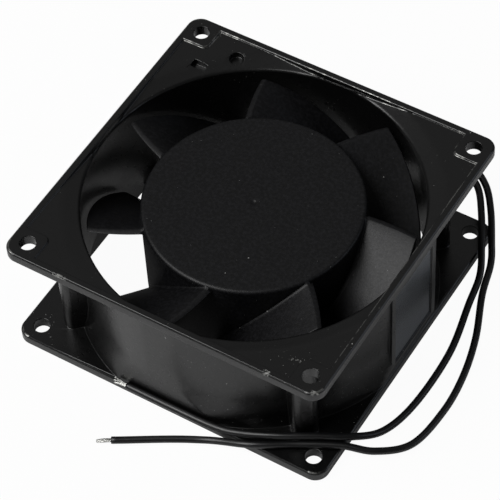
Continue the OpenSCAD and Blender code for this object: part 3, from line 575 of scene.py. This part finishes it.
def by_flange_outline(edge):
    """True of an upper edge of either flange's outline."""
    x, y, z = middle_of(edge)
    on_outline = max(x, y) > FRAME_HALF - NEAR or x + y > 2 * (HOLE_AT + HOLE_R)
    return on_outline and min(abs(z - FRAME_H), abs(z - FLANGE_T)) < NEAR


def by_dish(edge):
    """True of an edge of the circle where the field starts to dip towards the intake opening."""
    return all(abs(math.hypot(v.co.x, v.co.y) / MM - DISH_R) < NEAR and abs(v.co.z / MM - FIELD_Z) < NEAR
               for v in edge.verts)


def in_web_end(face):
    """True of the upright face that ends a corner web."""
    x, y, _ = face.calc_center_median() / MM
    return abs(face.normal.z) < 0.1 and abs((abs(x) + abs(y)) / math.sqrt(2) - WEB_END) < NEAR


def still_covered(face):
    """True inside the rim at the front and along the left side, where no rubbed edges are to be seen."""
    x, y, _ = face.calc_center_median() / MM
    at_front = y < -PAD_IN / 2
    at_left = x < -PAD_IN and y < PAD_IN - ROUND_REACH
    return max(abs(x), abs(y)) < FIELD_HALF + ROUND_REACH and (at_front or at_left)


def in_panel(face):
    """True of the flat face at the bottom of the side panel's recess."""
    return face.normal.x > 0.99 and abs(face.calc_center_median().x / MM - PANEL_FACE) < ABOUT


def round_web_ends(solid, mesh):
    """Rounds both upright edges of each corner web's end, after cutting it into upright strips: the distance
    out along the diagonal becomes end - R + sqrt(R^2 - b^2), with b how far a point lies aside of the flat
    that is left."""
    for across in (Vector((1, 1, 0)).normalized(), Vector((1, -1, 0)).normalized()):
        for cut in WEB_CUTS * MM:
            faces = [f for f in solid.faces if in_web_end(f)]
            edges = dict.fromkeys(e for f in faces for e in f.edges)
            verts = dict.fromkeys(v for f in faces for v in f.verts)
            bmesh.ops.bisect_plane(solid, geom=[*faces, *edges, *verts], dist=CUT_NEAR,
                                   plane_co=across * cut, plane_no=across)
    solid.to_mesh(mesh)
    flat = np.empty(len(mesh.vertices) * 3)
    mesh.vertices.foreach_get("co", flat)
    points = flat.reshape(-1, 3) / MM
    x, y, z = np.abs(points).T
    out, aside = (x + y) / math.sqrt(2), (x - y) / math.sqrt(2)
    end = ((np.abs(z - FRAME_H / 2) < FRAME_H / 2 - FLANGE_T + NEAR) & (np.abs(aside) < WEB_T / 2 + NEAR)
           & (np.abs(out - WEB_END + WEB_R / 2) < WEB_R / 2 + NEAR))
    beyond = np.clip(np.abs(aside) - WEB_T / 2 + WEB_ROUND, 0, WEB_ROUND)
    out = WEB_END - WEB_ROUND + np.sqrt(WEB_ROUND**2 - beyond**2)
    rounded = np.stack([out + aside, out - aside], axis=1) / math.sqrt(2) * np.sign(points[:, :2])
    points[end, :2] = rounded[end]
    mesh.vertices.foreach_set("co", (points * MM).ravel())
    solid.clear()
    solid.from_mesh(mesh)


def casting():
    """The frame's own solid with its doubles merged, its web ends rounded, its dish blended into the field,
    a soft round along the rim's wall, others along the flange edges and every other hard edge, and normals
    weighted by area so that flat faces shade flat. The rounds of rim and flanges are rubbed."""
    mesh = frame["nodes"]["frame"].data.copy()
    solid = bmesh.new()
    solid.from_mesh(mesh)
    bmesh.ops.remove_doubles(solid, verts=solid.verts, dist=CAD_WELD)
    round_web_ends(solid, mesh)

    def hard_edges():
        return [e for e in solid.edges
                if len(e.link_faces) == 2 and e.calc_face_angle() > math.radians(HARD_DEG)]

    def round_off(edges, radius_mm, segments, finish=AS_BESIDE):
        bmesh.ops.bevel(solid, geom=edges, offset=radius_mm * MM, offset_type="OFFSET", segments=segments,
                        profile=0.5, affect="EDGES", clamp_overlap=False, material=finish)

    round_off([e for e in solid.edges if by_dish(e)], DISH_BLEND, SOFT_SEGMENTS)
    round_off([e for e in hard_edges() if by_rim_wall(e)], RIM_ROUND, SOFT_SEGMENTS, RUBBED)
    round_off([e for e in hard_edges() if by_flange_outline(e)], FLANGE_ROUND, SOFT_SEGMENTS, RUBBED)
    round_off(hard_edges(), FINE_ROUND, FINE_SEGMENTS)
    for face in solid.faces:
        if in_panel(face):
            face.material_index = PANEL
        elif still_covered(face):
            face.material_index = COVERED
    finishes = [ENAMEL, RUBBED_ENAMEL, PANEL_LACQUER]
    obj = finished("frame_casting", mesh, solid, finishes, "housing", ["frame"], sharp_deg=50)
    weighted = obj.modifiers.new("flat_faces", "WEIGHTED_NORMAL")
    weighted.mode = "FACE_AREA_WITH_ANGLE"
    weighted.keep_sharp = True


casting()

slots = {part["node"]: part["material_slot"] for part in frame["record"]["subparts"]}
for name, node in frame["nodes"].items():
    if slots[name] in INNER_FINISHES:
        node.data.materials.clear()
        node.data.materials.append(INNER_FINISHES[slots[name]])


# Floor, light and surround

FLOOR_HALF, FLOOR_DROP = 4.0, 0.1 * MM
LAMP_AWAY, LAMPS_LOOK_AT = 1.6, Vector((0, 0, 0.02))
# How white the floor and the sky are to the eye and how light in mirrors, and how much the sky lights
FLOOR_TO_EYE, FLOOR_MIRRORED = 0.96, 0.1
SKY_TO_EYE, SKY_MIRRORED, SKY_LIGHT = 0.95, 0.02, 0.05
WHITE = "#ffffff"


def by_ray(tree, any_ray, mirrored, to_eye):
    """Number that depends on the ray: any_ray, plus mirrored for glossy and transmission rays, plus to_eye
    for rays from the camera."""
    path = add(tree, "LightPath")
    mirror = add(tree, "Math", {0: path.outputs["Is Glossy Ray"], 1: path.outputs["Is Transmission Ray"]},
                 operation="MAXIMUM")
    number = add(tree, "Math", {0: mirror, 1: mirrored, 2: any_ray}, operation="MULTIPLY_ADD")
    return add(tree, "Math", {0: path.outputs["Is Camera Ray"], 1: to_eye, 2: number},
               operation="MULTIPLY_ADD")


def white_studio_paper():
    """White studio paper: matt and diffuse, near white to the eye, with the object's shadow kept faint."""
    material, tree, _ = new_material("white_studio_paper")
    paper = add(tree, "BsdfPrincipled", {
        "Base Color": "#f2f2f2", "Roughness": 0.9, "Specular IOR Level": 0.1})
    glow = add(tree, "Emission", {"Color": WHITE, "Strength": 1.0})
    share = by_ray(tree, 0.0, FLOOR_MIRRORED, FLOOR_TO_EYE)
    add(tree, "OutputMaterial", {"Surface": add(tree, "MixShader", {0: share, 1: paper, 2: glow})})
    return material


floor_corners = np.array([(-1, -1, 0), (1, -1, 0), (1, 1, 0), (-1, 1, 0)]) * FLOOR_HALF - (0, 0, FLOOR_DROP)
floor_mesh = bpy.data.meshes.new("studio_floor")
floor_mesh.from_pydata(floor_corners.tolist(), [], [(0, 1, 2, 3)])
floor_mesh.materials.append(white_studio_paper())
floor = bpy.data.objects.new("studio_floor", floor_mesh)
bpy.context.scene.collection.objects.link(floor)


def softbox(name, direction, width, height, radiance, colour):
    """Area lamp looking at the fan from that direction; its power is radiance x pi x area."""
    lamp = bpy.data.lights.new(name, "AREA")
    lamp.shape = "RECTANGLE"
    lamp.size, lamp.size_y = width, height
    lamp.energy = radiance * math.pi * width * height
    lamp.color = linear(colour)[:3]
    obj = bpy.data.objects.new(name, lamp)
    back = Vector(direction).normalized()
    obj.location = LAMPS_LOOK_AT + back * LAMP_AWAY
    obj.rotation_mode = "QUATERNION"
    obj.rotation_quaternion = (-back).to_track_quat("-Z", "Y")
    obj.visible_camera = False
    bpy.context.scene.collection.objects.link(obj)


softbox("key_softbox", (-0.38, -0.48, 0.79), 1.0, 1.0, 6.4, WHITE)
softbox("side_fill", (0.80, 0.42, 0.40), 0.8, 0.6, 1.2, "#e2eaf8")
softbox("back_card", (-0.35, 0.51, 0.79), 1.8, 1.8, 0.15, WHITE)

# Dim sky round the fan, a little lighter in its gloss, and white to the eye
world = bpy.data.worlds.new("studio")
bpy.context.scene.world = world
world.use_nodes = True
sky = world.node_tree
sky.nodes.clear()
strength = by_ray(sky, SKY_LIGHT, SKY_MIRRORED, SKY_TO_EYE)
add(sky, "OutputWorld", {"Surface": add(sky, "Background", {"Color": WHITE, "Strength": strength})})
